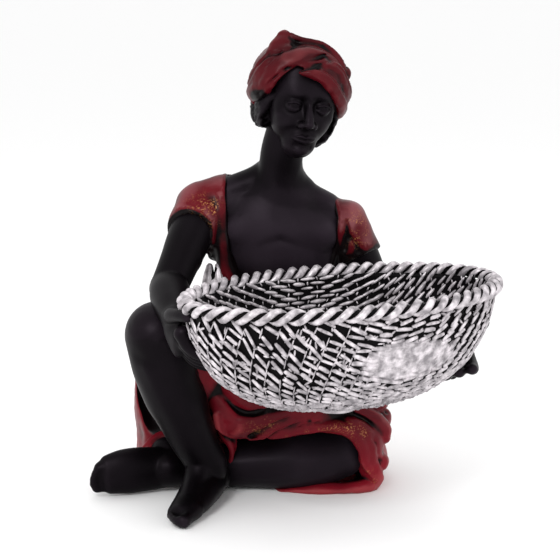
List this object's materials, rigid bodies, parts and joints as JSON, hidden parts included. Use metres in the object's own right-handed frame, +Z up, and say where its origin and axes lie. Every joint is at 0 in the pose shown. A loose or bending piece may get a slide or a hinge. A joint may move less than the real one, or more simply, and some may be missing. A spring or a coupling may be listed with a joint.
{
  "type": "seated woman figurine",
  "caption": "Cast resin figurine of a woman seated on the ground in a red dress and turban, holding an open oval woven basket on her lap.",
  "frame": {"origin": "on the ground that the figurine stands on, under her left shin, near the middle of its plan", "axes": "+Z up, she faces -Y, her left side is +X"},
  "size_m": [0.2144, 0.2023, 0.2484],
  "materials": {
    "painted_resin": "satin black skin with an antiqued deep red dress and turban, rubbed with gold",
    "silvered_resin": "bright silver paint on the high points over black"
  },
  "bodies": {
    "root": {"figure": "painted_resin", "basket": "silvered_resin"}
  },
  "joints": []
}
